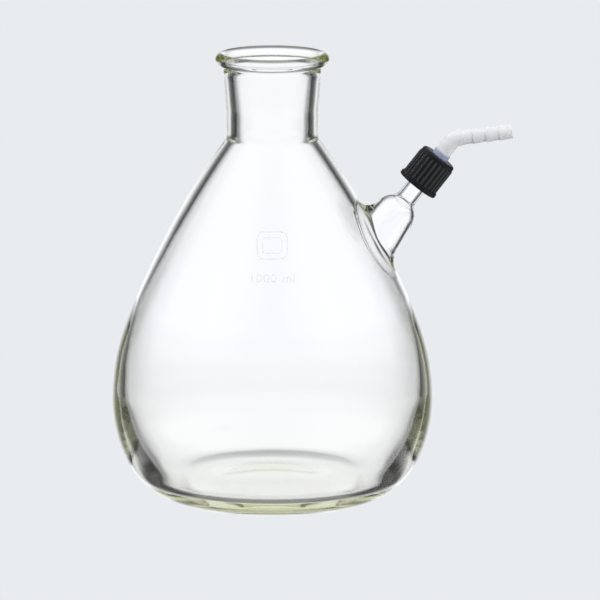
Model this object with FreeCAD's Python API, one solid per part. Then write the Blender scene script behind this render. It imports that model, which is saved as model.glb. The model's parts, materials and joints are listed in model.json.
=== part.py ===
import FreeCAD, Part
import math
import os

os.makedirs("parts", exist_ok=True)

# Heavy-walled filter flask, nominal 1000 ml. Millimetres, +Z up. The origin is the centre of the
# foot on the bench; the side arm leaves the shoulder towards +X.
V = FreeCAD.Vector

# Flask, outside
FOOT_IN, FOOT_OUT = 29.5, 31.5      # radii of the flat ring that stands on the bench
PUNT = 0.7                          # rise of the underside at the centre
BELLY_R, BELLY_Z = 67.4, 44.2       # widest point
BELLY_LOW_ARC = 58.6
BELLY_HIGH_ARC = 89.2
BELLY_HIGH_END = 21.7               # degrees, where the belly arc becomes the shoulder arc
SHOULDER_ARC = 388.0
NECK_R = 19.3
NECK_FILLET = 4.0
NECK_FLARE_Z = 166.0                # the neck widens above this
RIM_R, RIM_Z, RIM_BEAD = 21.3, 188.1, 2.7

# Flask, inside
FLOOR_R, FLOOR_Z = 38.0, 8.6        # flat part of the floor
CAVITY_R, CAVITY_Z = 62.8, 49.4
CAVITY_LOW_ARC = 56.6
CAVITY_HIGH_ARC = 91.5
CAVITY_HIGH_END = 26.1
CAVITY_SHOULDER_ARC = 495.0
BORE_R = 15.0
BORE_FILLET = 6.0
MOUTH_R, MOUTH_Z = 16.4, 181.0      # the bore flares from here out to the rim

# Side arm: distances run along its axis from where the axis leaves the shoulder
ARM_ELEVATION = 52.0
ARM_AXIS_Z = 57.0                   # where the arm's axis would cross the flask's axis
ARM_ROOT = 72.0                     # from that crossing out to the shoulder
WELD_FILLET = 3.0
TUBE_R = 4.25
TUBE_BORE_R = 3.0
FINISH_R = 5.3                      # threaded end, without its thread
FINISH_START, FINISH_END = 28.4, 36.2

# Thread of the arm and cap: right-hand
PITCH = 2.0
THREAD_START = 29.6
THREAD_TURNS = 2.5
GLASS_CREST_R = 6.35
CAP_CREST_R = 5.85

# Screw cap
CAP_START, CAP_END = 26.5, 42.0
SKIRT_R, SKIRT_H = 9.0, 2.4
RIB_ROOT_R, RIB_CREST_R, RIBS = 7.95, 8.4, 24
CAP_EDGE = 1.2
CAP_CAVITY_R, CAP_CAVITY_END = 6.75, 39.8
APERTURE_R = 3.85

# Seal ring and hose nozzle
SEAL_R, SEAL_BORE_R = 5.7, 3.1
SEAL_START, SEAL_END = 36.25, 37.9
FLANGE_R, FLANGE_START, FLANGE_END = 5.7, 37.95, 39.75
COLLAR_R, COLLAR_END = 3.75, 44.6
STEM_R = 3.4
NOZZLE_BORE_R = 2.0
BEND_CORNER = 51.7                  # where the stem's and leg's axes would cross
BEND_ANGLE = 45.0
BEND_R = 6.0
LEG_R = 3.05
LEG_LENGTH = 24.6                   # corner to tip
BARBS, BARB_LENGTH = 3, 5.6
BARB_ROOT_R, BARB_TIP_R = 3.35, 2.85


def arc(cx, cz, r, a0, a1):
    """Circular arc in the XZ plane from angle a0 to a1, in degrees from +X towards +Z."""
    pts = []
    for a in (a0, (a0 + a1) / 2, a1):
        pts.append(V(cx + r * math.cos(math.radians(a)), 0, cz + r * math.sin(math.radians(a))))
    return Part.Arc(*pts).toShape()


def arc3(p, q, r):
    """Circular arc through three points (radius, height)."""
    return Part.Arc(V(p[0], 0, p[1]), V(q[0], 0, q[1]), V(r[0], 0, r[1])).toShape()


def line(r0, z0, r1, z1):
    return Part.makeLine(V(r0, 0, z0), V(r1, 0, z1))


def revolved(edges):
    """Solid of revolution about Z from a closed outline in the XZ plane."""
    return Part.Face(Part.Wire(edges)).revolve(V(0, 0, 0), V(0, 0, 1), 360)


def polygon_revolved(points):
    """Solid of revolution from the corners (radius, height) of a closed outline."""
    pts = [V(r, 0, z) for r, z in points]
    return Part.Face(Part.makePolygon(pts + pts[:1])).revolve(V(0, 0, 0), V(0, 0, 1), 360)


def pear(base_r, base_z, wide_r, wide_z, low, high, high_end, shoulder, neck_r, fillet):
    """Arcs of a pear-shaped wall from its flat base to the foot of its neck, each tangent to
    the next. Returns the edges and the height where the straight neck starts."""
    dr, dz = base_r - (wide_r - low), wide_z - base_z
    heel = (dr ** 2 + dz ** 2 - low ** 2) / (2 * dz - 2 * low)
    turn = math.degrees(math.atan2(base_z + heel - wide_z, dr))
    a = math.radians(high_end)
    sr = wide_r - high + (high - shoulder) * math.cos(a)
    sz = wide_z + (high - shoulder) * math.sin(a)
    fr = neck_r + fillet
    fz = sz + math.sqrt((shoulder + fillet) ** 2 - (fr - sr) ** 2)
    top = math.degrees(math.atan2(fz - sz, fr - sr))
    edges = [
        arc(base_r, base_z + heel, heel, -90, turn),
        arc(wide_r - low, wide_z, low, turn, 0),
        arc(wide_r - high, wide_z, high, 0, high_end),
        arc(sr, sz, shoulder, high_end, top),
        arc(fr, fz, fillet, top + 180, 180),
    ]
    return edges, fz


def on_arm(shape):
    """Place a shape built along +Z, from the point where the arm leaves the shoulder."""
    tilt = FreeCAD.Rotation(V(0, 1, 0), 90 - ARM_ELEVATION)
    root = V(0, 0, ARM_AXIS_Z) + tilt.multVec(V(0, 0, ARM_ROOT))
    shape = shape.copy()
    shape.Placement = FreeCAD.Placement(root, tilt).multiply(shape.Placement)
    return shape


def thread(root_r, crest_r, root_w, crest_w, start, turns):
    """Helical ridge with a trapezoid section, its root sunk a little into the wall."""
    sink = 0.15 if crest_r > root_r else -0.15
    helix = Part.makeHelix(PITCH, PITCH * turns, root_r)
    section = Part.makePolygon([
        V(root_r - sink, 0, -root_w / 2),
        V(crest_r, 0, -crest_w / 2),
        V(crest_r, 0, crest_w / 2),
        V(root_r - sink, 0, root_w / 2),
        V(root_r - sink, 0, -root_w / 2),
    ])
    ridge = Part.Wire(helix).makePipeShell([section], True, True)
    ridge.translate(V(0, 0, start))
    return ridge


# Flask: outer envelope, then the hollow
heel_edges, neck_z = pear(FOOT_OUT, 0, BELLY_R, BELLY_Z, BELLY_LOW_ARC, BELLY_HIGH_ARC,
                          BELLY_HIGH_END, SHOULDER_ARC, NECK_R, NECK_FILLET)
punt_turn = 2 * math.degrees(math.atan2(PUNT, FOOT_IN))
punt_sum = FOOT_IN / math.sin(math.radians(punt_turn))
ring_arc = 0.25 * punt_sum
dome_arc = punt_sum - ring_arc
envelope = revolved([
    arc(0, PUNT - dome_arc, dome_arc, 90, 90 - punt_turn),
    arc(FOOT_IN, ring_arc, ring_arc, 270 - punt_turn, 270),
    line(FOOT_IN, 0, FOOT_OUT, 0),
    *heel_edges,
    line(NECK_R, neck_z, NECK_R, NECK_FLARE_Z),
    line(NECK_R, NECK_FLARE_Z, RIM_R, RIM_Z - RIM_BEAD),
    arc(RIM_R, RIM_Z, RIM_BEAD, -90, 90),
    line(RIM_R, RIM_Z + RIM_BEAD, 0, RIM_Z + RIM_BEAD),
    line(0, RIM_Z + RIM_BEAD, 0, PUNT),
])
floor_edges, bore_z = pear(FLOOR_R, FLOOR_Z, CAVITY_R, CAVITY_Z, CAVITY_LOW_ARC, CAVITY_HIGH_ARC,
                           CAVITY_HIGH_END, CAVITY_SHOULDER_ARC, BORE_R, BORE_FILLET)
lip = math.radians(200)
lip_r, lip_z = RIM_R + RIM_BEAD * math.cos(lip), RIM_Z + RIM_BEAD * math.sin(lip)
hollow = revolved([
    line(0, FLOOR_Z, FLOOR_R, FLOOR_Z),
    *floor_edges,
    line(BORE_R, bore_z, BORE_R, NECK_FLARE_Z),
    line(BORE_R, NECK_FLARE_Z, MOUTH_R, MOUTH_Z),
    arc3((MOUTH_R, MOUTH_Z), (MOUTH_R + 0.7, MOUTH_Z + 3.7), (lip_r, lip_z)),
    arc(RIM_R, RIM_Z, RIM_BEAD, 200, 90),
    line(RIM_R, RIM_Z + RIM_BEAD, RIM_R, RIM_Z + 2 * RIM_BEAD),
    line(RIM_R, RIM_Z + 2 * RIM_BEAD, 0, RIM_Z + 2 * RIM_BEAD),
    line(0, RIM_Z + 2 * RIM_BEAD, 0, FLOOR_Z),
])

# Side arm: a bulb welded over a full-bore hole, necked down to a tube with a threaded end
arm_outside = revolved([
    line(11.8, -10, 8.7, 12),
    arc3((8.7, 12), (7.9, 15.2), (5.6, 17.6)),
    arc3((5.6, 17.6), (4.7, 18.5), (TUBE_R, 19.7)),
    line(TUBE_R, 19.7, TUBE_R, FINISH_START - 1.2),
    line(TUBE_R, FINISH_START - 1.2, FINISH_R, FINISH_START),
    line(FINISH_R, FINISH_START, FINISH_R, FINISH_END - 0.5),
    arc(FINISH_R - 0.5, FINISH_END - 0.5, 0.5, 0, 90),
    line(FINISH_R - 0.5, FINISH_END, 0, FINISH_END),
    line(0, FINISH_END, 0, -10),
    line(0, -10, 11.8, -10),
])
arm_bore = revolved([
    line(10.75, -12, 7.4, 11.6),
    arc3((7.4, 11.6), (6.7, 14.4), (4.75, 16.5)),
    arc3((4.75, 16.5), (3.55, 17.6), (TUBE_BORE_R, 19.0)),
    line(TUBE_BORE_R, 19.0, TUBE_BORE_R, FINISH_END + 5),
    line(TUBE_BORE_R, FINISH_END + 5, 0, FINISH_END + 5),
    line(0, FINISH_END + 5, 0, -12),
    line(0, -12, 10.75, -12),
])
blank = envelope.fuse(on_arm(arm_outside))
root_point = on_arm(Part.Vertex(0, 0, 0)).Point
seam = []
for edge in blank.Edges:
    mid = edge.valueAt((edge.FirstParameter + edge.LastParameter) / 2)
    if 8 < (mid - root_point).Length < 14 and edge.BoundBox.YLength > 5:
        seam.append(edge)
blank = blank.makeFillet(WELD_FILLET, seam)
side_arm = blank.cut(envelope).cut(on_arm(arm_bore))
glass_thread = thread(FINISH_R, GLASS_CREST_R, 1.1, 0.5, THREAD_START, THREAD_TURNS)
side_arm = side_arm.fuse(on_arm(glass_thread))
flask_body = envelope.cut(hollow).cut(on_arm(arm_bore))

# Screw cap
step = 360 / RIBS
outline = []
for i in range(RIBS):
    corners = []
    for a, r in ((-0.5, RIB_ROOT_R), (-0.22, RIB_ROOT_R), (-0.12, RIB_CREST_R),
                 (0.12, RIB_CREST_R), (0.22, RIB_ROOT_R), (0.5, RIB_ROOT_R)):
        t = math.radians((i + a) * step)
        corners.append(V(r * math.cos(t), r * math.sin(t), CAP_START))
    outline += [Part.makeLine(p, q) for p, q in zip(corners, corners[1:])]
ribbed = Part.Face(Part.Wire(outline)).extrude(V(0, 0, CAP_END - CAP_START))
rounded = revolved([
    line(0, CAP_START, RIB_CREST_R + 1, CAP_START),
    line(RIB_CREST_R + 1, CAP_START, RIB_CREST_R + 1, CAP_END - CAP_EDGE - 1),
    line(RIB_CREST_R + 1, CAP_END - CAP_EDGE - 1, RIB_CREST_R, CAP_END - CAP_EDGE),
    arc(RIB_CREST_R - CAP_EDGE, CAP_END - CAP_EDGE, CAP_EDGE, 0, 90),
    line(RIB_CREST_R - CAP_EDGE, CAP_END, 0, CAP_END),
    line(0, CAP_END, 0, CAP_START),
])
skirt = polygon_revolved([
    (0, CAP_START), (SKIRT_R - 0.5, CAP_START), (SKIRT_R, CAP_START + 0.5),
    (SKIRT_R, CAP_START + SKIRT_H - 0.6), (RIB_ROOT_R, CAP_START + SKIRT_H + 0.3),
    (0, CAP_START + SKIRT_H + 0.3),
])
cap_hollow = polygon_revolved([
    (0, CAP_START - 1), (CAP_CAVITY_R + 0.5, CAP_START - 1), (CAP_CAVITY_R + 0.5, CAP_START + 0.5),
    (CAP_CAVITY_R, CAP_START + 1), (CAP_CAVITY_R, CAP_CAVITY_END), (APERTURE_R, CAP_CAVITY_END),
    (APERTURE_R, CAP_END + 1), (0, CAP_END + 1),
])
screw_cap = ribbed.common(rounded).fuse(skirt).cut(cap_hollow)
cap_thread = thread(CAP_CAVITY_R, CAP_CREST_R, 1.0, 0.5, THREAD_START + PITCH / 2, THREAD_TURNS - 0.5)
screw_cap = screw_cap.fuse(cap_thread)

# Silicone seal ring between the arm's end face and the nozzle's flange
seal_ring = polygon_revolved([
    (SEAL_BORE_R, SEAL_START), (SEAL_R, SEAL_START), (SEAL_R, SEAL_END), (SEAL_BORE_R, SEAL_END),
])

# Hose nozzle: flange and collar held by the cap, bent stem, barbed leg
tangent = BEND_R * math.tan(math.radians(BEND_ANGLE / 2))
stem_end = BEND_CORNER - tangent
stem = polygon_revolved([
    (0, FLANGE_START), (FLANGE_R, FLANGE_START), (FLANGE_R, FLANGE_END), (COLLAR_R, FLANGE_END),
    (COLLAR_R, COLLAR_END - 0.4), (STEM_R, COLLAR_END), (STEM_R, stem_end), (0, stem_end),
])
stem_bore = Part.makeCylinder(NOZZLE_BORE_R, stem_end - FLANGE_START, V(0, 0, FLANGE_START))
bend_centre = V(BEND_R, 0, stem_end)


def bend(radius):
    ring = Part.makeCircle(radius, V(0, 0, stem_end), V(0, 0, 1))
    return Part.Face(Part.Wire(ring)).revolve(bend_centre, V(0, 1, 0), BEND_ANGLE)


barb_start = LEG_LENGTH - BARBS * BARB_LENGTH
leg_profile = [(0, tangent), (STEM_R, tangent), (LEG_R, tangent + 2.2)]
for i in range(BARBS):
    s = barb_start + i * BARB_LENGTH
    leg_profile += [(LEG_R if i == 0 else BARB_TIP_R, s), (BARB_ROOT_R, s + 0.25)]
leg_profile += [(BARB_TIP_R, LEG_LENGTH), (0, LEG_LENGTH)]
turn = FreeCAD.Placement(V(0, 0, BEND_CORNER), FreeCAD.Rotation(V(0, 1, 0), BEND_ANGLE))
leg = polygon_revolved(leg_profile)
leg.Placement = turn
leg_bore = Part.makeCylinder(NOZZLE_BORE_R, LEG_LENGTH - tangent, V(0, 0, tangent))
leg_bore.Placement = turn
hose_nozzle = stem.fuse([bend(STEM_R), leg]).cut(stem_bore.fuse([bend(NOZZLE_BORE_R), leg_bore]))

for name, shape in (
    ("flask_body", flask_body),
    ("side_arm", side_arm),
    ("screw_cap", on_arm(screw_cap)),
    ("seal_ring", on_arm(seal_ring)),
    ("hose_nozzle", on_arm(hose_nozzle)),
):
    shape.exportStep("parts/" + name + ".step")
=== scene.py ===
import bmesh
import bpy
import json
import math
from mathutils import Matrix, Vector

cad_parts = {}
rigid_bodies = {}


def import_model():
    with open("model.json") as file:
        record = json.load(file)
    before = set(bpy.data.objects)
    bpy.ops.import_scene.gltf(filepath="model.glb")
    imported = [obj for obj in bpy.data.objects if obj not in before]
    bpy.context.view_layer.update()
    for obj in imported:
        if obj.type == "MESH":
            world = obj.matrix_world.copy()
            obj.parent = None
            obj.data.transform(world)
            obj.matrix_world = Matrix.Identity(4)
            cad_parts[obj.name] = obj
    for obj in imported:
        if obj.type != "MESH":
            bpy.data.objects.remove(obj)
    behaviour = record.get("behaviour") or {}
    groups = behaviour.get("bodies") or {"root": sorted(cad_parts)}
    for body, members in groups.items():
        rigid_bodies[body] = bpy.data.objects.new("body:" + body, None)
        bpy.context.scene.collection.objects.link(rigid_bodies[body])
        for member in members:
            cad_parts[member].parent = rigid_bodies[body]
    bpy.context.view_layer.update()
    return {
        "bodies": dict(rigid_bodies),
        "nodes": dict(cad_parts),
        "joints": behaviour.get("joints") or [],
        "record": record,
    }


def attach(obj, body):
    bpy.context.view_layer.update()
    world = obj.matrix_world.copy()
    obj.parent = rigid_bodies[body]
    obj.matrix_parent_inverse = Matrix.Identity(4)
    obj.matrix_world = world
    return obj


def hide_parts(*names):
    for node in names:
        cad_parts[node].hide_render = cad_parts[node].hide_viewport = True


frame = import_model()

MM = 0.001

# Flask, outside and inside: millimetres, as in the part's drawing
FOOT_IN, FOOT_OUT, PUNT = 29.5, 31.5, 0.7
OUTSIDE = dict(base_r=FOOT_OUT, base_z=0.0, wide_r=67.4, wide_z=44.2, low=58.6, high=89.2,
               high_end=21.7, shoulder=388.0, neck_r=19.3, fillet=4.0)
INSIDE = dict(base_r=38.0, base_z=8.6, wide_r=62.8, wide_z=49.4, low=56.6, high=91.5,
              high_end=26.1, shoulder=495.0, neck_r=15.0, fillet=6.0)
NECK_FLARE_Z = 166.0
RIM_R, RIM_Z, RIM_BEAD = 21.3, 188.1, 2.7
MOUTH_R, MOUTH_Z = 16.4, 181.0
FLASK_SEGMENTS = 136

# Side arm: distances along its axis from where the axis leaves the shoulder
ARM_ELEVATION = math.radians(52.0)
ARM_AXIS_Z, ARM_ROOT = 57.0, 72.0
ARM_ALONG = Vector((math.cos(ARM_ELEVATION), 0, math.sin(ARM_ELEVATION)))
ARM_DOWN = Vector((math.sin(ARM_ELEVATION), 0, -math.cos(ARM_ELEVATION)))
ARM_SEGMENTS = 112
# Arm's cone as (radius at the root, how much it narrows per mm), and where the weld hands over
OUTER_CONE, OUTER_WELD_END = (10.39, 0.1409), 13.2
INNER_CONE, INNER_WELD_END = (9.05, 0.142), 11.5
# How far each weld's fillet runs at the arm's upper side, lower side and flanks
OUTER_ON_WALL, OUTER_ON_ARM = (6.8, 5.0, 2.2), (8.2, 4.4, 2.2)
INNER_ON_WALL, INNER_ON_ARM = (10.0, 8.0, 9.0), (10.6, 9.0, 9.0)
PATCH_R = 24.0                       # shoulder round the arm that is woven to meet it
FINISH_R, FINISH_START, FINISH_END = 5.3, 28.4, 36.2
TUBE_R, TUBE_BORE_R = 4.25, 3.0

# Thread, cap, nozzle
PITCH, THREAD_START, THREAD_TURNS = 2.0, 29.6, 2.5
GLASS_CREST_R, CAP_CREST_R = 6.35, 5.85
CAP_START, CAP_END, CAP_WALL_R, CAP_CAVITY_R = 26.5, 42.0, 7.95, 6.75
CAP_CAVITY_END, APERTURE_R, SKIRT_R = 39.8, 3.85, 9.0
RIBS, RIB_CREST_R = 24, 8.4
FLANGE_R, FLANGE_START, FLANGE_END = 5.7, 37.95, 39.75
COLLAR_R, COLLAR_END, STEM_R, NOZZLE_BORE_R = 3.75, 44.6, 3.4, 2.0
BEND_CORNER, BEND_ANGLE, BEND_R = 51.7, math.radians(45.0), 6.0
LEG_R, LEG_LENGTH, BARBS, BARB_LENGTH = 3.05, 24.6, 3, 5.6
BARB_ROOT_R, BARB_TIP_R = 3.35, 2.85
PRINT_Z = 101.5                       # foot of the printed volume, above the bench


# ---------------------------------------------------------------- outlines

def arc(cx, cz, r, a0, a1, pitch=1.3):
    """Points (radius, height) on a circular arc, degrees from outwards towards up."""
    count = max(2, math.ceil(abs(math.radians(a1 - a0)) * r / pitch), math.ceil(abs(a1 - a0) / 9))
    out = []
    for i in range(count + 1):
        a = math.radians(a0 + (a1 - a0) * i / count)
        out.append((cx + r * math.cos(a), cz + r * math.sin(a)))
    return out


def arc_through(p, q, r, pitch=0.5):
    """Points on the circular arc from p through q to r."""
    ax, ay, bx, by, cx, cy = *p, *q, *r
    d = 2 * (ax * (by - cy) + bx * (cy - ay) + cx * (ay - by))
    ux = ((ax**2 + ay**2) * (by - cy) + (bx**2 + by**2) * (cy - ay) + (cx**2 + cy**2) * (ay - by)) / d
    uy = ((ax**2 + ay**2) * (cx - bx) + (bx**2 + by**2) * (ax - cx) + (cx**2 + cy**2) * (bx - ax)) / d
    a0, am, a1 = (math.atan2(y - uy, x - ux) for x, y in (p, q, r))
    turn = (a1 - a0) % math.tau
    if (am - a0) % math.tau > turn:
        turn -= math.tau
    radius = math.hypot(ax - ux, ay - uy)
    return arc(ux, uy, radius, math.degrees(a0), math.degrees(a0 + turn), pitch)


def straight(p, q, pitch=1.6):
    count = max(1, math.ceil(math.dist(p, q) / pitch))
    return [(p[0] + (q[0] - p[0]) * i / count, p[1] + (q[1] - p[1]) * i / count)
            for i in range(count + 1)]


def joined(*runs):
    """One outline from runs of points, without the points that two runs share."""
    out = []
    for run in runs:
        for p in run:
            if not out or math.dist(p, out[-1]) > 1e-4:
                out.append(p)
    return out


def shoulder_circle(wide_r, wide_z, high, high_end, shoulder, **rest):
    a = math.radians(high_end)
    return (wide_r - high + (high - shoulder) * math.cos(a),
            wide_z + (high - shoulder) * math.sin(a))


def pear(base_r, base_z, wide_r, wide_z, low, high, high_end, shoulder, neck_r, fillet):
    """A pear-shaped wall from its base to the foot of its neck, and that foot's height."""
    dr, dz = base_r - (wide_r - low), wide_z - base_z
    heel = (dr**2 + dz**2 - low**2) / (2 * dz - 2 * low)
    turn = math.degrees(math.atan2(base_z + heel - wide_z, dr))
    sr, sz = shoulder_circle(wide_r, wide_z, high, high_end, shoulder)
    fr = neck_r + fillet
    fz = sz + math.sqrt((shoulder + fillet)**2 - (fr - sr)**2)
    top = math.degrees(math.atan2(fz - sz, fr - sr))
    return joined(
        arc(base_r, base_z + heel, heel, -90, turn),
        arc(wide_r - low, wide_z, low, turn, 0),
        arc(wide_r - high, wide_z, high, 0, high_end),
        arc(sr, sz, shoulder, high_end, top),
        arc(fr, fz, fillet, top + 180, 180, 0.6),
    ), fz


def flask_outline():
    """The whole wall, from the middle of the underside round the rim to the middle of the floor."""
    turn = 2 * math.degrees(math.atan2(PUNT, FOOT_IN))
    total = FOOT_IN / math.sin(math.radians(turn))
    ring, dome = 0.25 * total, 0.75 * total
    outer, neck_z = pear(**OUTSIDE)
    inner, bore_z = pear(**INSIDE)
    neck, bore = OUTSIDE["neck_r"], INSIDE["neck_r"]
    lip = math.radians(200)
    lip_point = (RIM_R + RIM_BEAD * math.cos(lip), RIM_Z + RIM_BEAD * math.sin(lip))
    under = joined(
        arc(0, PUNT - dome, dome, 90, 90 - turn, 2.2),
        arc(FOOT_IN, ring, ring, 270 - turn, 270),
        straight((FOOT_IN, 0), (FOOT_OUT, 0)),
    )
    mouth = joined(
        straight((neck, neck_z), (neck, NECK_FLARE_Z)),
        straight((neck, NECK_FLARE_Z), (RIM_R - 0.7, RIM_Z - RIM_BEAD - 0.9)),
        arc_through((RIM_R - 0.7, RIM_Z - RIM_BEAD - 0.9), (RIM_R - 0.45, RIM_Z - RIM_BEAD - 0.25),
                    (RIM_R + RIM_BEAD * math.cos(math.radians(-80)),
                     RIM_Z + RIM_BEAD * math.sin(math.radians(-80))), 0.25),
        arc(RIM_R, RIM_Z, RIM_BEAD, -80, 196, 0.6),
        arc_through(lip_point, (MOUTH_R + 0.7, MOUTH_Z + 3.7), (MOUTH_R, MOUTH_Z)),
        straight((MOUTH_R, MOUTH_Z), (bore, NECK_FLARE_Z)),
        straight((bore, NECK_FLARE_Z), (bore, bore_z)),
    )
    floor = straight(inner[0], (0, INSIDE["base_z"]), 2.2)
    return joined(under, outer, mouth, inner[::-1], floor)


# ---------------------------------------------------------------- mesh makers

def arm_point(radius, around, along):
    """A point given from the side arm's axis, in metres in the part's frame."""
    centre = Vector((0, 0, ARM_AXIS_Z)) + ARM_ALONG * (ARM_ROOT + along)
    side = ARM_DOWN * math.cos(around) + Vector((0, 1, 0)) * math.sin(around)
    return (centre + side * radius) * MM


def shoulder_at(wall, radius, around):
    """How far along the arm its line at this radius and angle meets the shoulder wall."""
    sr, sz = shoulder_circle(**wall)
    low, high = -30.0, 25.0
    for _ in range(40):
        mid = (low + high) / 2
        p = arm_point(radius, around, mid) / MM
        if math.hypot(p.x, p.y) < sr + math.sqrt(wall["shoulder"]**2 - (p.z - sz)**2):
            low = mid
        else:
            high = mid
    return (low + high) / 2


def object_from(bm, name, material, smooth=True):
    mesh = bpy.data.meshes.new(name)
    bm.to_mesh(mesh)
    bm.free()
    mesh.materials.append(material)
    mesh.polygons.foreach_set("use_smooth", [smooth] * len(mesh.polygons))
    piece = bpy.data.objects.new(name, mesh)
    bpy.context.collection.objects.link(piece)
    return piece


def ring_faces(bm, lower, upper):
    count = len(lower)
    for i in range(count):
        j = (i + 1) % count
        quad = [lower[i], lower[j], upper[j], upper[i]]
        bm.faces.new([v for k, v in enumerate(quad) if v not in quad[:k]])


def zip_loops(bm, outer, inner):
    """Triangles between two loops of (angle, vertex), both in order and the same way round.

    Each step takes the shorter of the two edges that could come next."""
    i = j = 0
    while i < len(outer) or j < len(inner):
        a, b = outer[i % len(outer)][1], inner[j % len(inner)][1]
        next_a, next_b = outer[(i + 1) % len(outer)][1], inner[(j + 1) % len(inner)][1]
        if j >= len(inner) or (i < len(outer)
                               and (next_a.co - b.co).length < (next_b.co - a.co).length):
            bm.faces.new((a, b, next_a))
            i += 1
        else:
            bm.faces.new((a, b, next_b))
            j += 1


def border_loops(bm, angle_of):
    """Every open edge loop as (angle, vertex) pairs in order, from the smallest angle upwards."""
    after = {}
    for e in bm.edges:
        if len(e.link_faces) == 1:
            corner = e.link_loops[0]
            after[corner.link_loop_next.vert] = corner.vert
    loops = []
    while after:
        v = next(iter(after))
        walk = []
        while v in after:
            walk.append(v)
            v = after.pop(v)
        turns = [(angle_of(b) - angle_of(a) + math.pi) % math.tau - math.pi
                 for a, b in zip(walk, walk[1:])]
        if sum(turns) < 0:
            walk.reverse()
        first = min(range(len(walk)), key=lambda i: angle_of(walk[i]))
        walk = walk[first:] + walk[:first]
        angle = angle_of(walk[0])
        loop = [(angle, walk[0])]
        for a, b in zip(walk, walk[1:]):
            angle += (angle_of(b) - angle_of(a) + math.pi) % math.tau - math.pi
            loop.append((angle, b))
        loops.append(loop)
    return loops


def turned(outline, name, material, segments, bump):
    """A closed ring-shaped solid turned about the side arm's axis from a closed outline, with
    the bump's height added to its radius."""
    bm = bmesh.new()
    rings = []
    for radius, along in outline:
        ring = []
        for k in range(segments):
            around = math.tau * k / segments
            ring.append(bm.verts.new(arm_point(radius + bump(radius, around, along), around, along)))
        rings.append(ring)
    for k, ring in enumerate(rings):
        ring_faces(bm, ring, rings[(k + 1) % len(rings)])
    bmesh.ops.recalc_face_normals(bm, faces=bm.faces)
    return object_from(bm, name, material)


def ridge(along, around, start, turns, root_half, crest_half):
    """Height from 0 to 1 of a right-hand helical ridge, faded at its ends."""
    best = 0.0
    phase = (around % math.tau) / math.tau
    for k in range(math.ceil(turns) + 1):
        turn = phase + k
        if turn > turns:
            break
        off = abs(along - start - PITCH * turn)
        height = min(1.0, max(0.0, (root_half - off) / (root_half - crest_half)))
        fade = min(1.0, turn / 0.12, (turns - turn) / 0.12)
        best = max(best, height * max(0.0, fade))
    return best


def glass_thread(around, along):
    return (GLASS_CREST_R - FINISH_R) * ridge(along, around, THREAD_START, THREAD_TURNS, 0.55, 0.25)


def cap_thread(radius, around, along):
    if abs(radius - CAP_CAVITY_R) > 1e-6:
        return 0.0
    height = ridge(along, around, THREAD_START + PITCH / 2, THREAD_TURNS - 0.5, 0.5, 0.25)
    return (CAP_CREST_R - CAP_CAVITY_R) * height


# ---------------------------------------------------------------- glass

def arm_outside():
    """The arm's outside above its weld, and its bore back down to the hole in the shoulder."""
    up = joined(
        arc_through((8.7, 12.0), (7.9, 15.2), (5.6, 17.6), 0.4),
        arc_through((5.6, 17.6), (4.7, 18.5), (TUBE_R, 19.7), 0.25),
        straight((TUBE_R, 19.7), (TUBE_R, FINISH_START - 1.2), 1.2),
        straight((TUBE_R, FINISH_START - 1.2), (FINISH_R, FINISH_START), 0.4),
        straight((FINISH_R, FINISH_START), (FINISH_R, FINISH_END - 0.5), 0.2),
        arc(FINISH_R - 0.5, FINISH_END - 0.5, 0.5, 0, 90, 0.2),
    )
    down = joined(
        arc(TUBE_BORE_R + 0.4, FINISH_END - 0.4, 0.4, 90, 180, 0.2),
        straight((TUBE_BORE_R, FINISH_END - 0.4), (TUBE_BORE_R, 19.0), 1.6),
        arc_through((TUBE_BORE_R, 19.0), (3.55, 17.6), (4.75, 16.5), 0.25),
        arc_through((4.75, 16.5), (6.7, 14.4), (7.4, 11.6), 0.4),
    )
    return up, down


def blended(p0, corner, p1, count):
    """Points of a fillet from p0 to p1 round the corner, with no sudden bend at either end."""
    out = []
    for i in range(count + 1):
        t = i / count
        w = t**3 * (10 - 15 * t + 6 * t * t)
        out.append(tuple((1 - w) * (a + (c - a) * t) + w * (b + (c - b) * (1 - t))
                         for a, c, b in zip(p0, corner, p1)))
    return out


def weld_rings(wall, cone, reach_wall, reach_arm, end, count):
    """Columns of points from the shoulder wall at PATCH_R in to the arm's cone, one per angle.

    cone is (radius, slope): the arm's wall is at radius - slope * along. A reach is how far the
    fillet runs out at the arm's upper side, its lower side and its two flanks."""
    columns = []
    for k in range(ARM_SEGMENTS):
        around = math.tau * k / ARM_SEGMENTS
        radius = cone[0]
        for _ in range(8):
            along = shoulder_at(wall, radius, around)
            radius = cone[0] - cone[1] * along
        lean = abs(math.cos(around))**1.6
        on_wall, on_arm = (side[2] + (side[0 if math.cos(around) < 0 else 1] - side[2]) * lean
                           for side in (reach_wall, reach_arm))
        start = radius + on_wall
        column = []
        for i in range(5):
            r = PATCH_R - 1.6 + (start - PATCH_R + 1.6) * i / 5
            column.append((r, shoulder_at(wall, r, around)))
        first = (start, shoulder_at(wall, start, around))
        top = along + on_arm
        last = (cone[0] - cone[1] * top, top)
        fillet = blended(first, (radius, along), last, count)
        column += fillet
        rise = [(cone[0] - cone[1] * (top + (end - top) * i / 4), top + (end - top) * i / 4)
                for i in range(1, 4)]
        columns.append(column + rise)
    return columns


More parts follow.
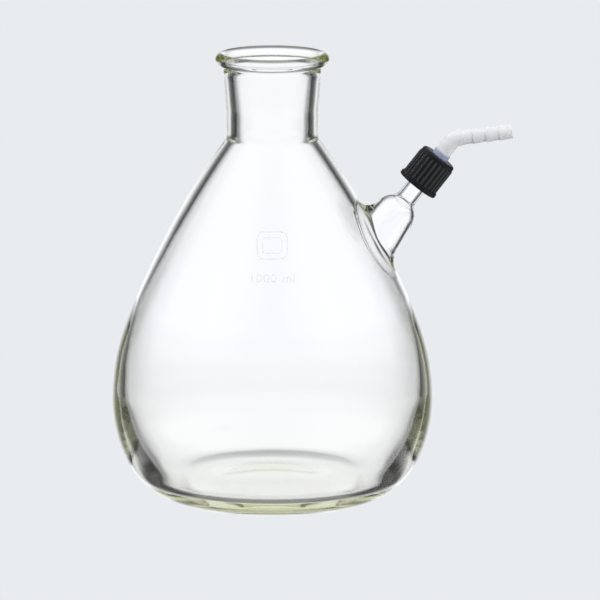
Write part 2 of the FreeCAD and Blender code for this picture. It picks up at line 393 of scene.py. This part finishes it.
def make_flask_glass(material):
    bm = bmesh.new()
    outline = flask_outline()
    rings = []
    for radius, height in outline:
        if radius < 1e-6:
            rings.append([bm.verts.new((0, 0, height * MM))] * FLASK_SEGMENTS)
            continue
        rings.append([bm.verts.new((radius * math.cos(math.tau * k / FLASK_SEGMENTS) * MM,
                                    radius * math.sin(math.tau * k / FLASK_SEGMENTS) * MM,
                                    height * MM)) for k in range(FLASK_SEGMENTS)])
    for lower, upper in zip(rings, rings[1:]):
        ring_faces(bm, lower, upper)

    # Open the shoulder where the arm joins it
    origin = Vector((0, 0, ARM_AXIS_Z)) * MM

    def off_axis(v):
        d = v.co - origin
        return (d - ARM_ALONG * d.dot(ARM_ALONG)).length / MM

    inside = {v for v in bm.verts if v.co.x > 0 and v.co.z > 0.08 and off_axis(v) < PATCH_R}
    gone = [f for f in bm.faces if any(v in inside for v in f.verts)]
    bmesh.ops.delete(bm, geom=gone, context="FACES")
    bmesh.ops.delete(bm, geom=[v for v in bm.verts if not v.link_faces], context="VERTS")

    def angle_of(v):
        d = v.co - origin
        return math.atan2(d.y, d.dot(ARM_DOWN)) % math.tau

    # The outside loop stands farther from the flask's axis
    inner_loop, outer_loop = sorted(
        border_loops(bm, angle_of), key=lambda loop: sum(v.co.x for _, v in loop) / len(loop))

    up, down = arm_outside()
    outer_weld = weld_rings(OUTSIDE, OUTER_CONE, OUTER_ON_WALL, OUTER_ON_ARM, OUTER_WELD_END, 14)
    inner_weld = weld_rings(INSIDE, INNER_CONE, INNER_ON_WALL, INNER_ON_ARM, INNER_WELD_END, 20)
    angles = [math.tau * k / ARM_SEGMENTS for k in range(ARM_SEGMENTS)]

    def column_rings(columns):
        return [[bm.verts.new(arm_point(*(columns[k][i][0], angles[k], columns[k][i][1])))
                 for k in range(ARM_SEGMENTS)] for i in range(len(columns[0]))]

    outer_rings = column_rings(outer_weld)
    arm_rings = []
    for radius, along in [p for p in up if p[1] > OUTER_WELD_END + 0.2]:
        arm_rings.append([bm.verts.new(arm_point(
            radius + (glass_thread(a, along) if abs(radius - FINISH_R) < 1e-6 else 0),
            a, along)) for a in angles])
    for radius, along in [p for p in down if p[1] > INNER_WELD_END + 0.15]:
        arm_rings.append([bm.verts.new(arm_point(radius, a, along)) for a in angles])
    inner_rings = column_rings(inner_weld)[::-1]
    chain = outer_rings + arm_rings + inner_rings
    for lower, upper in zip(chain, chain[1:]):
        ring_faces(bm, lower, upper)
    zip_loops(bm, outer_loop, list(zip(angles, outer_rings[0])))
    zip_loops(bm, inner_loop, list(zip(angles, inner_rings[-1])))
    bmesh.ops.recalc_face_normals(bm, faces=bm.faces)

    # Where the two meshes meet, the shading follows the true shoulder
    bm.verts.index_update()
    true = {}
    for wall, way, loop, near in ((OUTSIDE, 1, outer_loop, outer_rings[:5]),
                                  (INSIDE, -1, inner_loop, inner_rings[-5:])):
        sr, sz = shoulder_circle(**wall)
        for v in [v for _, v in loop] + [v for ring in near for v in ring]:
            r = math.hypot(v.co.x, v.co.y)
            out, up = (r / MM - sr) / wall["shoulder"], (v.co.z / MM - sz) / wall["shoulder"]
            true[v.index] = (way * out * v.co.x / r, way * out * v.co.y / r, way * up)
    normals = [true.get(i, (0, 0, 0)) for i in range(len(bm.verts))]
    flask = object_from(bm, "flask_glass", material)
    flask.data.normals_split_custom_set_from_vertices(normals)
    return flask


# ---------------------------------------------------------------- cap

def make_cap_shell(material):
    top, side = CAP_END, CAP_WALL_R
    outline = joined(
        arc(APERTURE_R + 0.35, top - 0.35, 0.35, 180, 90, 0.15),
        straight((APERTURE_R + 0.35, top), (side - 1.15, top), 0.8),
        arc(side - 1.15, top - 1.15, 1.15, 90, 0, 0.25),
        straight((side, top - 1.15), (side, CAP_START + 2.75), 0.8),
        arc_through((side, CAP_START + 2.75), (side + 0.2, CAP_START + 2.45),
                    (side + 0.6, CAP_START + 2.3), 0.2),
        straight((side + 0.6, CAP_START + 2.3), (SKIRT_R - 0.45, CAP_START + 2.05), 0.3),
        arc(SKIRT_R - 0.45, CAP_START + 1.6, 0.45, 90, 0, 0.15),
        straight((SKIRT_R, CAP_START + 1.6), (SKIRT_R, CAP_START + 0.5), 0.5),
        arc(SKIRT_R - 0.5, CAP_START + 0.5, 0.5, 0, -90, 0.2),
        straight((SKIRT_R - 0.5, CAP_START), (CAP_CAVITY_R + 0.8, CAP_START), 0.5),
        arc(CAP_CAVITY_R + 0.8, CAP_START + 0.3, 0.3, -90, -180, 0.15),
        straight((CAP_CAVITY_R + 0.5, CAP_START + 0.3), (CAP_CAVITY_R, CAP_START + 1), 0.5),
        straight((CAP_CAVITY_R, CAP_START + 1), (CAP_CAVITY_R, CAP_CAVITY_END - 0.3), 0.2),
        arc(CAP_CAVITY_R - 0.3, CAP_CAVITY_END - 0.3, 0.3, 0, 90, 0.15),
        straight((CAP_CAVITY_R - 0.3, CAP_CAVITY_END), (APERTURE_R, CAP_CAVITY_END), 0.8),
        straight((APERTURE_R, CAP_CAVITY_END), (APERTURE_R, top - 0.35), 0.5),
    )[:-1]
    return turned(outline, "cap_shell", material, 144, cap_thread)


def node_tree(name, inputs):
    """A Geometry Nodes tree with these named float or integer inputs, and its two end nodes."""
    tree = bpy.data.node_groups.new(name, "GeometryNodeTree")
    tree.interface.new_socket("Geometry", in_out="INPUT", socket_type="NodeSocketGeometry")
    for label, kind, value in inputs:
        socket = tree.interface.new_socket(label, in_out="INPUT", socket_type=kind)
        socket.default_value = value
    tree.interface.new_socket("Geometry", in_out="OUTPUT", socket_type="NodeSocketGeometry")
    return tree, tree.nodes.new("NodeGroupInput"), tree.nodes.new("NodeGroupOutput")


def grown(name, tree, place, material):
    """The plain mesh that a Geometry Nodes tree makes, moved to its place."""
    seed = bpy.data.objects.new(name + "_seed", bpy.data.meshes.new(name + "_seed"))
    bpy.context.collection.objects.link(seed)
    modifier = seed.modifiers.new(name, "NODES")
    modifier.node_group = tree
    evaluated = seed.evaluated_get(bpy.context.evaluated_depsgraph_get())
    mesh = bpy.data.meshes.new_from_object(evaluated)
    seed.modifiers.clear()
    bpy.data.objects.remove(seed)
    mesh.name = name
    mesh.transform(place)
    if not mesh.materials:
        mesh.materials.append(material)
    piece = bpy.data.objects.new(name, mesh)
    bpy.context.collection.objects.link(piece)
    return piece


def make_cap_ribs(material):
    """Half-round grip ribs that stand round the cap, made by Geometry Nodes."""
    tree, given, result = node_tree("cap_ribs", [
        ("Ribs", "NodeSocketInt", RIBS),
        ("Circle radius", "NodeSocketFloat", (RIB_CREST_R - 0.52) * MM),
        ("Rib length", "NodeSocketFloat", 11.6 * MM),
        ("Rib half width", "NodeSocketFloat", 0.52 * MM),
    ])
    add, link = tree.nodes.new, tree.links.new
    circle = add("GeometryNodeMeshCircle")
    link(given.outputs["Ribs"], circle.inputs["Vertices"])
    link(given.outputs["Circle radius"], circle.inputs["Radius"])
    line = add("GeometryNodeCurvePrimitiveLine")
    line.mode = "DIRECTION"
    line.inputs["Direction"].default_value = (0, 0, 1)
    link(given.outputs["Rib length"], line.inputs["Length"])
    resampled = add("GeometryNodeResampleCurve")
    resampled.inputs["Count"].default_value = 25
    link(line.outputs["Curve"], resampled.inputs["Curve"])
    factor = add("GeometryNodeSplineParameter")
    taper = add("ShaderNodeFloatCurve")
    points = taper.mapping.curves[0].points
    points[0].location, points[1].location = (0.0, 1.0), (1.0, 0.05)
    for x, y in ((0.86, 1.0), (0.94, 0.72)):
        points.new(x, y)
    taper.mapping.update()
    link(factor.outputs["Factor"], taper.inputs["Value"])
    sized = add("GeometryNodeSetCurveRadius")
    link(resampled.outputs["Curve"], sized.inputs["Curve"])
    link(taper.outputs["Value"], sized.inputs["Radius"])
    section = add("GeometryNodeCurvePrimitiveCircle")
    section.inputs["Resolution"].default_value = 14
    link(given.outputs["Rib half width"], section.inputs["Radius"])
    rib = add("GeometryNodeCurveToMesh")
    rib.inputs["Fill Caps"].default_value = True
    link(sized.outputs["Curve"], rib.inputs["Curve"])
    link(section.outputs["Curve"], rib.inputs["Profile Curve"])
    if "Scale" in rib.inputs:
        link(taper.outputs["Value"], rib.inputs["Scale"])
    placed = add("GeometryNodeInstanceOnPoints")
    link(circle.outputs["Mesh"], placed.inputs["Points"])
    link(rib.outputs["Mesh"], placed.inputs["Instance"])
    real = add("GeometryNodeRealizeInstances")
    link(placed.outputs["Instances"], real.inputs["Geometry"])
    smooth = add("GeometryNodeSetShadeSmooth")
    link(real.outputs["Geometry"], smooth.inputs["Geometry"])
    finish = add("GeometryNodeSetMaterial")
    finish.inputs["Material"].default_value = material
    link(smooth.outputs["Geometry"], finish.inputs["Geometry"])
    link(finish.outputs["Geometry"], result.inputs["Geometry"])
    foot = arm_point(0, 0, CAP_START + 2.2)
    axes = Matrix((ARM_DOWN, Vector((0, 1, 0)), ARM_ALONG)).transposed().to_4x4()
    return grown("cap_ribs", tree, Matrix.Translation(foot) @ axes, material)


# ---------------------------------------------------------------- nozzle

def nozzle_frame(travel):
    """Centre, direction and in-plane normal of the nozzle's line, this far from its foot."""
    tangent = BEND_R * math.tan(BEND_ANGLE / 2)
    stem_end = BEND_CORNER - tangent
    run = stem_end - FLANGE_START
    turn = min(max((travel - run) / BEND_R, 0.0), BEND_ANGLE)
    base = arm_point(0, 0, FLANGE_START + min(travel, run)) / MM
    direction = ARM_ALONG * math.cos(turn) + ARM_DOWN * math.sin(turn)
    normal = ARM_DOWN * math.cos(turn) - ARM_ALONG * math.sin(turn)
    centre = base + ARM_DOWN * BEND_R * (1 - math.cos(turn)) + ARM_ALONG * BEND_R * math.sin(turn)
    beyond = travel - run - BEND_R * BEND_ANGLE
    if beyond > 0:
        centre += direction * beyond
    return centre, direction, normal


def make_nozzle(material):
    tangent = BEND_R * math.tan(BEND_ANGLE / 2)
    run = BEND_CORNER - tangent - FLANGE_START
    leg = run + BEND_R * BEND_ANGLE
    tip = leg + LEG_LENGTH - tangent
    barb = tip - BARBS * BARB_LENGTH
    collar = COLLAR_END - FLANGE_START
    flange = FLANGE_END - FLANGE_START
    outside = joined(
        straight((NOZZLE_BORE_R + 0.3, 0), (FLANGE_R - 0.25, 0), 0.8),
        arc(FLANGE_R - 0.25, 0.25, 0.25, -90, 0, 0.1),
        straight((FLANGE_R, 0.25), (FLANGE_R, flange - 0.25), 0.8),
        arc(FLANGE_R - 0.25, flange - 0.25, 0.25, 0, 90, 0.1),
        straight((FLANGE_R - 0.25, flange), (COLLAR_R + 0.02, flange), 0.8),
        straight((COLLAR_R, flange + 0.02), (COLLAR_R, collar - 0.5), 0.6),
        arc(COLLAR_R - 0.3, collar - 0.5, 0.3, 0, 70, 0.1),
        straight((STEM_R, collar), (STEM_R, run), 0.7),
        straight((STEM_R, run), (STEM_R, leg), 0.35),
        arc_through((STEM_R, leg), (STEM_R - 0.12, leg + 1.0), (LEG_R, leg + 2.4), 0.4),
        straight((LEG_R, leg + 2.4), (LEG_R, barb - 0.05), 0.7),
    )
    for i in range(BARBS):
        start = barb + i * BARB_LENGTH
        before = LEG_R if i == 0 else BARB_TIP_R
        end = start + BARB_LENGTH
        outside = joined(
            outside,
            arc_through((before, start), (before + 0.04, start + 0.03), (before + 0.1, start + 0.05), 0.04),
            straight((BARB_ROOT_R - 0.12, start + 0.08), (BARB_ROOT_R - 0.08, start + 0.1), 1),
            arc_through((BARB_ROOT_R - 0.08, start + 0.1), (BARB_ROOT_R - 0.01, start + 0.2),
                        (BARB_ROOT_R - 0.01, start + 0.35), 0.08),
            straight((BARB_ROOT_R - 0.02, start + 0.45), (BARB_TIP_R, end - 0.05), 0.6),
        )
    outside = joined(
        outside[:-1],
        arc(BARB_TIP_R - 0.2, tip - 0.2, 0.2, 0, 90, 0.08),
        arc(NOZZLE_BORE_R + 0.2, tip - 0.2, 0.2, 90, 180, 0.08),
        straight((NOZZLE_BORE_R, tip - 0.2), (NOZZLE_BORE_R, leg), 1.2),
        straight((NOZZLE_BORE_R, leg), (NOZZLE_BORE_R, run), 0.5),
        straight((NOZZLE_BORE_R, run), (NOZZLE_BORE_R, 0.3), 1.2),
    )
    bm = bmesh.new()
    rings = []
    for radius, travel in outside:
        centre, _, normal = nozzle_frame(travel)
        rings.append([bm.verts.new((centre + radius * (
            normal * math.cos(math.tau * k / 64) + Vector((0, 1, 0)) * math.sin(math.tau * k / 64)
        )) * MM) for k in range(64)])
    for k, ring in enumerate(rings):
        ring_faces(bm, ring, rings[(k + 1) % len(rings)])
    bmesh.ops.recalc_face_normals(bm, faces=bm.faces)
    return object_from(bm, "hose_nozzle_body", material)


# ---------------------------------------------------------------- print

def wall_point(across, up):
    """A point of the flask's front at this distance across and height, and its outward normal."""
    sr, sz = shoulder_circle(**OUTSIDE)

    def radius(z):
        return sr + math.sqrt(OUTSIDE["shoulder"]**2 - (z - sz)**2)
    r = radius(up)
    around = across / r - math.pi / 2
    slope = (radius(up + 0.5) - radius(up - 0.5))
    normal = Vector((math.cos(around), math.sin(around), -slope)).normalized()
    return Vector((r * math.cos(around), r * math.sin(around), up)), normal


def make_volume_print(material):
    """The volume and an empty marking frame, in enamel that lies on the front of the flask."""
    curve = bpy.data.curves.new("volume_text", "FONT")
    curve.body = "1000 ml"
    curve.size = 5.4
    curve.align_x = "CENTER"
    curve.space_character = 1.12
    curve.resolution_u = 4
    text = bpy.data.objects.new("volume_text", curve)
    bpy.context.collection.objects.link(text)
    flat = bpy.data.meshes.new_from_object(text.evaluated_get(bpy.context.evaluated_depsgraph_get()))
    bpy.data.objects.remove(text)
    bm = bmesh.new()
    bm.from_mesh(flat)
    bmesh.ops.subdivide_edges(bm, edges=[e for e in bm.edges if e.calc_length() > 1.2], cuts=2)
    bmesh.ops.triangulate(bm, faces=bm.faces)
    for v in bm.verts:
        v.co = Vector((v.co.x, v.co.y * 0.92, 0))

    def frame(width, height, corner, line):
        loops = []
        for inset in (0.0, line):
            loop = []
            for k in range(64):
                a = math.tau * (k + 0.5) / 64
                cx = math.copysign(width / 2 - corner, math.cos(a))
                cy = math.copysign(height / 2 - corner, math.sin(a))
                loop.append(bm.verts.new((cx + (corner - inset) * math.cos(a),
                                          cy + (corner - inset) * math.sin(a) + 14.5, 0)))
            loops.append(loop)
        ring_faces(bm, *loops)

    frame(13.0, 11.0, 3.0, 0.45)
    frame(8.4, 6.4, 1.6, 0.35)
    bmesh.ops.subdivide_edges(bm, edges=[e for e in bm.edges if e.calc_length() > 1.5], cuts=3)
    for v in bm.verts:
        point, normal = wall_point(v.co.x, PRINT_Z + v.co.y)
        v.co = (point + normal * 0.03) * MM
    bmesh.ops.recalc_face_normals(bm, faces=bm.faces)
    for f in bm.faces:
        if f.normal.y > 0:
            f.normal_flip()
    return object_from(bm, "volume_print", material, smooth=False)


# ---------------------------------------------------------------- materials

def new_material(name):
    """A material, its node tree and its Principled shader."""
    mat = bpy.data.materials.new(name)
    mat.use_nodes = True
    shader = mat.node_tree.nodes["Principled BSDF"]
    return mat, mat.node_tree, shader


def object_coords(tree):
    return tree.nodes.new("ShaderNodeTexCoord").outputs["Object"]


def noise_in(tree, scale, detail):
    noise = tree.nodes.new("ShaderNodeTexNoise")
    noise.inputs["Scale"].default_value = scale
    noise.inputs["Detail"].default_value = detail
    tree.links.new(object_coords(tree), noise.inputs["Vector"])
    return noise.outputs["Fac"]


def raised(tree, shader, height, strength, distance):
    bump = tree.nodes.new("ShaderNodeBump")
    bump.inputs["Strength"].default_value = strength
    bump.inputs["Distance"].default_value = distance
    tree.links.new(height, bump.inputs["Height"])
    tree.links.new(bump.outputs["Normal"], shader.inputs["Normal"])


def grained(tree, shader, scale, strength, distance):
    """A fine moulded grain on a surface, from noise in the part's own coordinates."""
    noise = noise_in(tree, scale, 3)
    raised(tree, shader, noise, strength, distance)
    return noise


def make_glass():
    """Clear glass with the slight waves of blown work, olive where light runs far through it."""
    mat, tree, shader = new_material("borosilicate_glass")
    shader.inputs["Base Color"].default_value = (1, 1, 1, 1)
    shader.inputs["Roughness"].default_value = 0.0
    shader.inputs["IOR"].default_value = 1.474
    shader.inputs["Transmission Weight"].default_value = 1.0
    raised(tree, shader, noise_in(tree, 60, 1), 1.0, 0.04 * MM)
    tint = tree.nodes.new("ShaderNodeVolumeAbsorption")
    tint.inputs["Color"].default_value = (0.76, 0.775, 0.45, 1)
    tint.inputs["Density"].default_value = 10.0
    tree.links.new(tint.outputs["Volume"], tree.nodes["Material Output"].inputs["Volume"])
    return mat


def spread(tree, value, low, high, start=0.35, end=0.65):
    """A value that runs from low to high while the given one runs from start to end."""
    node = tree.nodes.new("ShaderNodeMapRange")
    for label, number in (("From Min", start), ("From Max", end), ("To Min", low), ("To Max", high)):
        node.inputs[label].default_value = number
    tree.links.new(value, node.inputs["Value"])
    return node.outputs["Result"]


def tinted(tree, factor, first, second):
    """A colour that runs with the factor from the first, a colour or a socket, to the second."""
    mix = tree.nodes.new("ShaderNodeMix")
    mix.data_type = "RGBA"
    factor_in, first_in, second_in = (next(i for i in mix.inputs if i.identifier == label)
                                      for label in ("Factor_Float", "A_Color", "B_Color"))
    tree.links.new(factor, factor_in)
    if isinstance(first, tuple):
        first_in.default_value = (*first, 1)
    else:
        tree.links.new(first, first_in)
    second_in.default_value = (*second, 1)
    return next(o for o in mix.outputs if o.identifier == "Result_Color")


def make_cap_plastic(name, dark, light, shine, rough):
    mat, tree, shader = new_material(name)
    grain = grained(tree, shader, 1500, 0.05, 0.0001)
    tree.links.new(tinted(tree, grain, dark, light), shader.inputs["Base Color"])
    tree.links.new(spread(tree, grain, rough - 0.04, rough + 0.06), shader.inputs["Roughness"])
    shader.inputs["Specular IOR Level"].default_value = shine
    return mat


def make_nozzle_plastic():
    mat, tree, shader = new_material("natural_polypropylene")
    cloud = noise_in(tree, 160, 2)
    milky = tinted(tree, cloud, (0.93, 0.935, 0.94), (0.97, 0.972, 0.975))

    # Painted shade: the collar is coloured bluish grey for the dark cap seen through the translucent
    # plastic
    along = tree.nodes.new("ShaderNodeVectorMath")
    along.operation = "DOT_PRODUCT"
    along.inputs[1].default_value = ARM_ALONG
    tree.links.new(object_coords(tree), along.inputs[0])
    foot = arm_point(0, 0, COLLAR_END).dot(ARM_ALONG)
    collar_painted_shade = spread(tree, along.outputs["Value"], 1.0, 0.0, foot - 0.9 * MM, foot + 0.5 * MM)
    tree.links.new(tinted(tree, collar_painted_shade, milky, (0.46, 0.5, 0.68)), shader.inputs["Base Color"])
    tree.links.new(spread(tree, cloud, 0.24, 0.34), shader.inputs["Roughness"])
    shader.inputs["IOR"].default_value = 1.49
    shader.inputs["Transmission Weight"].default_value = 0.3
    shader.inputs["Subsurface Weight"].default_value = 0.5
    shader.inputs["Subsurface Radius"].default_value = (2 * MM, 2 * MM, 2 * MM)
    return mat


def make_silicone():
    mat, tree, shader = new_material("pale_silicone")
    cloud = grained(tree, shader, 900, 0.1, 0.0001)
    tree.links.new(tinted(tree, cloud, (0.66, 0.69, 0.74), (0.76, 0.79, 0.83)),
                   shader.inputs["Base Color"])
    tree.links.new(spread(tree, cloud, 0.42, 0.56), shader.inputs["Roughness"])
    return mat


def make_enamel():
    mat, tree, shader = new_material("faint_grey_enamel")
    specks = grained(tree, shader, 1800, 0.2, 0.00005)
    tree.links.new(tinted(tree, specks, (0.56, 0.56, 0.57), (0.66, 0.66, 0.67)),
                   shader.inputs["Base Color"])
    tree.links.new(spread(tree, specks, 0.25, 0.5), shader.inputs["Alpha"])
    shader.inputs["Roughness"].default_value = 0.6
    return mat


# ---------------------------------------------------------------- studio

PAPER = (0.807, 0.834, 0.863, 1)


def emission(name, colour):
    mat = bpy.data.materials.new(name)
    mat.use_nodes = True
    nodes, links = mat.node_tree.nodes, mat.node_tree.links
    nodes.clear()
    mat.cycles.emission_sampling = "NONE"
    glow = nodes.new("ShaderNodeEmission")
    glow.inputs["Color"].default_value = colour
    links.new(glow.outputs["Emission"], nodes.new("ShaderNodeOutputMaterial").inputs["Surface"])
    return mat, nodes, links, glow


def make_studio(camera, reach):
    """Even pale paper that only the camera sees, and a ball of light that only the object sees.

    The ball has a bright panel ahead, dark flags round it, a pale table below and soft light
    above and behind. It and the lamps are parented to the camera, so their light turns with
    every view instead of staying in the room."""
    mat, nodes, links, glow = emission("studio_ball", (1, 1, 1, 1))
    split = nodes.new("ShaderNodeSeparateXYZ")
    links.new(nodes.new("ShaderNodeTexCoord").outputs["Object"], split.inputs["Vector"])

    def maths(operation, *values):
        node = nodes.new("ShaderNodeMath")
        node.operation = operation
        for k, value in enumerate(values):
            if isinstance(value, (int, float)):
                node.inputs[k].default_value = value
            else:
                links.new(value, node.inputs[k])
        return node.outputs["Value"]

    def falloff(value, stops):
        """Brightness against an angle in degrees, from -180 to 180."""
        node = nodes.new("ShaderNodeFloatCurve")
        points = node.mapping.curves[0].points
        points[0].location = ((stops[0][0] + 180) / 360, stops[0][1])
        points[1].location = ((stops[-1][0] + 180) / 360, stops[-1][1])
        for degrees, bright in stops[1:-1]:
            points.new((degrees + 180) / 360, bright)
        for point in points:
            point.handle_type = "VECTOR"
        node.mapping.update()
        links.new(maths("ADD", maths("DIVIDE", value, math.tau), 0.5), node.inputs["Value"])
        return node.outputs["Value"]

    # The ball is parented to the camera, so in its own space +X is right, +Y is up, -Z is ahead
    length = maths("SQRT", maths("ADD", maths("ADD", maths("POWER", split.outputs["X"], 2.0),
                                                maths("POWER", split.outputs["Y"], 2.0)),
                                 maths("POWER", split.outputs["Z"], 2.0)))
    off_axis = maths("ARCCOSINE", maths("DIVIDE", maths("MULTIPLY", split.outputs["Z"], -1.0), length))
    rise = maths("ARCSINE", maths("DIVIDE", split.outputs["Y"], length))
    panel = falloff(off_axis, ((0, 1.0), (14, 1.0), (19, 0.86), (24, 0.38), (30, 0.15), (37, 0.045),
                               (62, 0.04), (85, 0.17), (115, 0.24), (180, 0.3)))
    table = falloff(rise, ((-90, 0.8), (-70, 0.5), (-55, 0.25), (-32, 0.2), (-26, 0.4), (-20, 0.65),
                           (-13, 0.65), (-8, 0.02), (10, 0.02), (20, 0.08), (36, 0.1), (52, 0.7),
                           (90, 1.0)))
    around = maths("ARCTAN2", split.outputs["X"], maths("MULTIPLY", split.outputs["Z"], -1.0))
    beside = falloff(around, ((-180, 0.5), (-130, 0.95), (-60, 0.95), (-45, 0), (45, 0), (60, 0.95),
                              (130, 0.95), (180, 0.5)))
    above = falloff(rise, ((-90, 0.7), (-18, 0.7), (-11, 0), (8, 0), (18, 0.95), (90, 0.95)))
    bright = maths("MAXIMUM", maths("MAXIMUM", panel, table), maths("MULTIPLY", beside, above))

    # Low down and to the sides everything is in shade
    low = falloff(rise, ((-90, 0), (-40, 0), (-31, 1), (-12.5, 1), (-9, 0), (90, 0)))
    shade = falloff(around, ((-180, 0), (-62, 0), (-50, 0.9), (-21, 0.9), (-12, 0), (12, 0),
                             (21, 0.9), (50, 0.9), (62, 0), (180, 0)))
    bright = maths("MULTIPLY", bright, maths("SUBTRACT", 1.0, maths("MULTIPLY", low, shade)))
    links.new(maths("MULTIPLY", bright, 1.06), glow.inputs["Strength"])
    glow.inputs["Color"].default_value = (0.975, 0.985, 1.03, 1)

    bm = bmesh.new()
    bmesh.ops.create_uvsphere(bm, u_segments=64, v_segments=32, radius=12.0)
    ball = object_from(bm, "studio_ball", mat)
    ball.parent = camera
    ball.location = (0, 0, -reach)
    ball.visible_camera = False

    # Soft lamps for the plastic pieces; the clear glass takes its light from the ball
    for name, place, size, power in (("lamp_key", (-1.8, 1.7, 0.9), 1.2, 50),
                                     ("lamp_fill", (1.8, -0.2, 0.9), 1.6, 24),
                                     ("lamp_back", (0.2, 1.0, -2.0), 1.6, 48)):
        light = bpy.data.lights.new(name, "AREA")
        light.size, light.energy = size, power
        lamp = bpy.data.objects.new(name, light)
        bpy.context.collection.objects.link(lamp)
        lamp.parent = camera
        lamp.location = (place[0], place[1], place[2] - reach)
        lamp.rotation_mode = "QUATERNION"
        lamp.rotation_quaternion = Vector(place).to_track_quat("Z", "Y")
        for ray in ("camera", "glossy", "transmission"):
            setattr(lamp, "visible_" + ray, False)

    bm = bmesh.new()
    bmesh.ops.create_grid(bm, x_segments=1, y_segments=1, size=11.0)
    floor = object_from(bm, "studio_floor", emission("studio_floor", PAPER)[0])
    for ray in ("diffuse", "glossy", "transmission", "volume_scatter", "shadow"):
        setattr(floor, "visible_" + ray, False)


def make_camera():
    data = bpy.data.cameras.new("camera")
    camera = bpy.data.objects.new("camera", data)
    bpy.context.collection.objects.link(camera)
    elevation, reach = math.radians(9.5), 6.0
    target = Vector((0.0116, 0, 0.0858))
    back = Vector((0, -math.cos(elevation), math.sin(elevation)))
    camera.location = target + back * reach
    camera.rotation_mode = "QUATERNION"
    camera.rotation_quaternion = (-back).to_track_quat("-Z", "Y")
    data.sensor_width = 36
    data.lens = 36 * reach / 0.252
    data.clip_start, data.clip_end = 0.05, 40
    bpy.context.scene.camera = camera
    return camera, reach


# ---------------------------------------------------------------- build

camera, reach = make_camera()
make_studio(camera, reach)

glass = make_glass()
cap_black = make_cap_plastic("black_moulded_plastic", (0.004, 0.0042, 0.005), (0.006, 0.0063, 0.007),
                             0.25, 0.36)
# Painted highlight: the ribs are the shell's black plastic, given a lighter base colour so that they read
# as lit
ribs_black_painted_highlight = make_cap_plastic("black_plastic_ribs_painted_highlight", (0.014, 0.0148, 0.0165), (0.019, 0.02, 0.022),
                             0.6, 0.24)
nozzle_plastic = make_nozzle_plastic()
silicone = make_silicone()

flask_glass = make_flask_glass(glass)
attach(flask_glass, "flask")
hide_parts("flask_body", "side_arm")

cap_shell = make_cap_shell(cap_black)
cap_ribs = make_cap_ribs(ribs_black_painted_highlight)
for piece in (cap_shell, cap_ribs):
    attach(piece, "screw_cap")
    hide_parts("screw_cap")

nozzle = make_nozzle(nozzle_plastic)
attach(nozzle, "hose_nozzle")
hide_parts("hose_nozzle")

volume_print = make_volume_print(make_enamel())
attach(volume_print, "flask")

seal = frame["nodes"]["seal_ring"]
for slot_used in seal.material_slots:
    slot_used.material = silicone

scene = bpy.context.scene
scene.view_settings.view_transform = "Standard"
for bounces in ("max_bounces", "glossy_bounces", "transmission_bounces"):
    setattr(scene.cycles, bounces, 40)
scene.world = bpy.data.worlds.new("studio_air")
scene.world.use_nodes = True
scene.world.node_tree.nodes["Background"].inputs["Color"].default_value = PAPER
